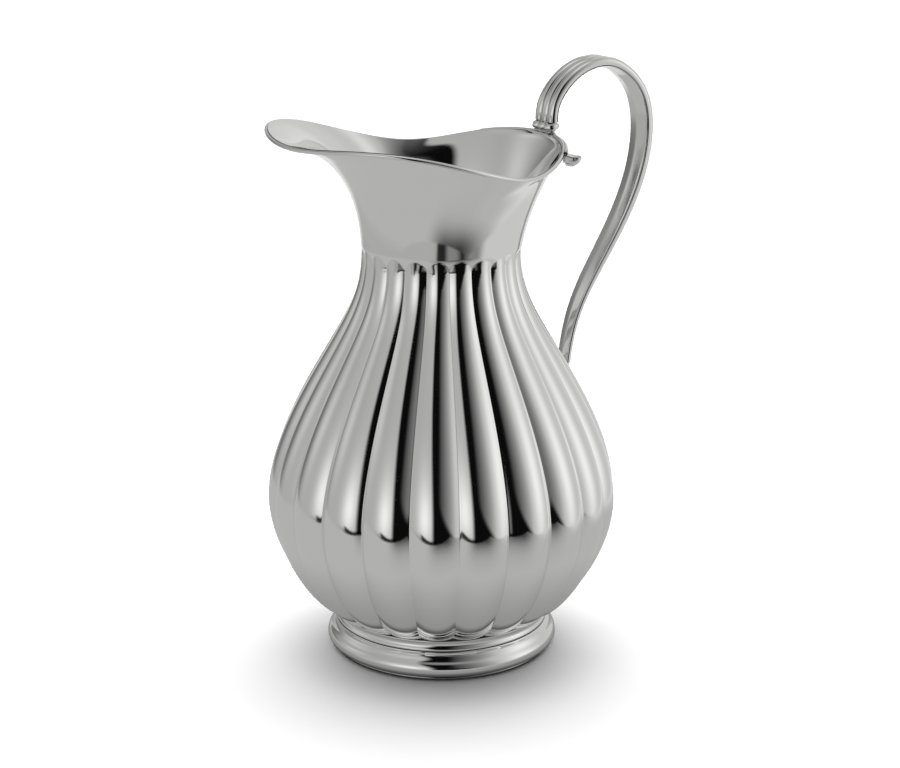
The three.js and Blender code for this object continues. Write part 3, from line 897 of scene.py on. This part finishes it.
def make_floor():
    """A white matt table. The silver sees it as in the photo: a grey glow with painted shade under the
    pitcher, and an end.
    """
    mesh = bpy.data.meshes.new("floor")
    corners = [(x * FLOOR_HALF, y * FLOOR_HALF, 0) for x, y in ((-1, -1), (1, -1), (1, 1), (-1, 1))]
    mesh.from_pydata(corners, [], [(0, 1, 2, 3)])
    floor = bpy.data.objects.new("floor", mesh)
    bpy.context.scene.collection.objects.link(floor)
    material = bpy.data.materials.new("floor")
    material.use_nodes = True
    tree = material.node_tree
    tree.nodes.clear()
    x, y, _ = split(tree, tree.nodes.new("ShaderNodeNewGeometry").outputs["Position"])
    toward, right = studio_axes(x - AXIS_X * MM, y)
    reach = (toward * toward + right * right).math("SQRT")
    azimuth = right.math("ARCTAN2", toward) * math.degrees(1)
    # painted shadow under the belly and the foot
    near = 1 - BELLY_SHADE * (1 - step_up(reach, *BELLY_SHADE_REACH))
    near = near * (1 - FOOT_SHADE * (1 - step_up(reach, *FOOT_SHADE_REACH)))
    # painted shade towards the camera, and painted light on the table's right
    dark = step_up(azimuth, *DARK_FROM) * (1 - step_up(azimuth, *DARK_TO)) * step_up(reach, *DARK_REACH)
    lit = step_up(azimuth, *LIT_FROM) * step_up(reach, *LIT_REACH)
    # the table glows for the silver's rays, and its light and shade are painted into that glow
    shade = tree.nodes.new("ShaderNodeEmission")
    level = near * (1 - DARK * dark + LIT * lit) * (grey(FLOOR_MIRRORED) / SILVER_WHITE)
    plug(tree, level, shade.inputs["Strength"])
    matt = tree.nodes.new("ShaderNodeBsdfDiffuse")
    matt.inputs["Color"].default_value = (FLOOR_WHITE, FLOOR_WHITE, FLOOR_WHITE, 1)
    clear = tree.nodes.new("ShaderNodeBsdfTransparent")
    front = toward * math.cos(EDGE_HEADING) + right * math.sin(EDGE_HEADING)
    beyond = step_up(front, *NEAR_EDGE).over(step_up(reach, *FAR_EDGE)).over(step_up(right, *RIGHT_EDGE))
    mirrored = mix_shaders(tree, shade, clear, beyond)
    surface = mix_shaders(tree, matt, mirrored, ray_kind(tree, "Is Glossy Ray"))
    output = tree.nodes.new("ShaderNodeOutputMaterial")
    tree.links.new(surface.outputs[0], output.inputs["Surface"])
    mesh.materials.append(material)


def mix_shaders(tree, one, other, share):
    mix = tree.nodes.new("ShaderNodeMixShader")
    plug(tree, share, mix.inputs["Fac"])
    tree.links.new(one.outputs[0], mix.inputs[1])
    tree.links.new(other.outputs[0], mix.inputs[2])
    return mix


def studio_axes(x, y):
    """Parts of a level direction towards the photographer's camera and towards the camera's right."""
    ahead_x, ahead_y = CAMERA_FROM_AXIS[:2] / np.hypot(*CAMERA_FROM_AXIS[:2])
    return x * ahead_x + y * ahead_y, y * ahead_x - x * ahead_y


def tent(azimuth, elevation):
    """Brightness of the tent round the table, as the silver sees it.

    Both angles are in degrees. The azimuth is 0 at the photographer's camera and grows to its right.
    """
    # the left wall: a lamp near the camera, a weaker one on the far side, and dull patches behind that
    left = blend(grey(LEFT_WALL), grey(LEFT_LAMP_GREY), patch(azimuth, elevation, LEFT_LAMP))
    leaning = azimuth - (elevation - FAR_LAMP_PIVOT) * FAR_LAMP_LEAN
    left = left + FAR_LAMP_LIGHT * patch(leaning, elevation, FAR_LAMP)
    left = left + REAR_DULL_LIGHT * patch(azimuth, elevation, REAR_DULL)
    left = left + HIGH_DULL_LIGHT * patch(azimuth, elevation, HIGH_DULL)
    # the right wall: in shade beside the opening, with a tall lamp at its middle
    right = grey(RIGHT_WALL) * ((azimuth.over(0) / RIGHT_CLEAR) ** RIGHT_CURVE).under(1)
    right = right + RIGHT_LAMP_LIGHT * patch(azimuth, elevation, RIGHT_LAMP)
    right = right + RIGHT_REAR_LIGHT * step_up(azimuth, *RIGHT_REAR)
    spread = SHADE_SPREAD * (SHADE_HEIGHT - elevation).over(0) ** SHADE_CURVE
    right = right * step_up(azimuth - (SHADE_EDGE + spread).under(SHADE_EDGE_MOST), *SHADE_SOFT)
    # the dark opening for the camera
    high = elevation.over(0)
    opening = OPENING_EDGE - OPENING_LEAN * high * high
    walls = blend(left, right + OPENING_GLOW, step_up(azimuth - opening, *OPENING_SOFT))
    # the dark strip between the left wall and the table, lower towards the opening, and a fold beside it
    slope = step_up(azimuth, *SLOPE_SPAN)
    strip = step_up(azimuth, *STRIP_FROM) * (1 - step_up(azimuth, *STRIP_TO))
    strip = strip * step_up(-elevation - STRIP_SLOPE * slope, *STRIP_DEPTH)
    walls = walls * (1 - STRIP_DARK * strip)
    fold = step_up(azimuth, *FOLD_FROM) * (1 - step_up(azimuth, *FOLD_TO)) * bell(elevation, *FOLD_HEIGHT)
    walls = walls * (1 - FOLD_DARK * fold)
    # what shows below the walls, beyond the table's end: pale, with two dark gaps
    low = blend(grey(LOW_LEFT), grey(LOW_MIDDLE), step_up(azimuth, *LOW_MIDDLE_FROM))
    low = blend(low, grey(LOW_RIGHT), step_up(azimuth, *LOW_RIGHT_FROM))
    low = low * (1 - GAP_DARK * step_up(azimuth, *GAP_FROM) * (1 - step_up(azimuth, *GAP_TO)))
    low = low * (1 - SLIT_DARK * bell(azimuth, *SLIT))
    walls = blend(walls, low, step_up(-elevation - LOW_SLOPE * slope, *LOW_DEPTH))
    # the pale top of the tent
    walls = blend(walls, grey(TOP_GREY), step_up(elevation, *TOP_FROM))
    walls = blend(walls, grey(CROWN_GREY), step_up(elevation, *CROWN_FROM))
    # the pale background behind the object
    behind = step_up(abs(azimuth), *BEHIND_FROM) * (1 - step_up(elevation, *BEHIND_TOP))
    return blend(walls, grey(BEHIND_GREY), behind)


def make_world():
    """The studio: white to the camera, a soft light on the floor, and the tent in the silver."""
    world = bpy.data.worlds.new("studio")
    world.use_nodes = True
    world.cycles.sampling_method = "NONE"
    tree = world.node_tree
    direction = tree.nodes.new("ShaderNodeTexCoord").outputs["Generated"]
    x, y, z = split(tree, direction)
    toward, right = studio_axes(x, y)
    azimuth = right.math("ARCTAN2", toward) * math.degrees(1)
    elevation = z.math("ARCSINE") * math.degrees(1)
    mirrored = ray_kind(tree, "Is Glossy Ray")
    seen = ray_kind(tree, "Is Camera Ray")
    tilt = math.radians(LIGHT_TILT)
    lamp = (z * math.cos(tilt) - toward * math.sin(tilt)).over(0) ** LIGHT_FOCUS
    soft = lamp * ((LIGHT_FOCUS + 2) / 2 / math.cos(tilt) * FLOOR_LIGHT / FLOOR_WHITE)
    brightness = blend(blend(soft, tent(azimuth, elevation) / SILVER_WHITE, mirrored), 1.0, seen)
    background = tree.nodes["Background"]
    background.inputs["Color"].default_value = (1, 1, 1, 1)
    plug(tree, brightness, background.inputs["Strength"])
    bpy.context.scene.world = world


def make_camera():
    data = bpy.data.cameras.new("camera")
    data.lens = CAMERA_LENS
    data.sensor_width = SENSOR
    camera = bpy.data.objects.new("camera", data)
    bpy.context.scene.collection.objects.link(camera)
    x, y, z = CAMERA_FROM_AXIS
    camera.location = Vector(((x + AXIS_X) * MM, y * MM, z * MM))
    heading = math.atan2(-y, -x) - CAMERA_YAW
    look = Vector((math.cos(heading) * math.cos(CAMERA_PITCH), math.sin(heading) * math.cos(CAMERA_PITCH),
                   -math.sin(CAMERA_PITCH)))
    camera.rotation_mode = "QUATERNION"
    camera.rotation_quaternion = look.to_track_quat("-Z", "Y")
    bpy.context.scene.camera = camera


make_body()
make_rim_wire()
make_foot()
make_handle()
make_root_band()
make_heel()
make_arm(1, "rim_strip_left", "rim_arm_left")
make_arm(-1, "rim_strip_right", "rim_arm_right")
make_leaf(1, "scroll_cup_left", "scroll_leaf_left")
make_leaf(-1, "scroll_cup_right", "scroll_leaf_right")
make_floor()
make_world()
make_camera()
bpy.context.scene.view_settings.view_transform = "Standard"
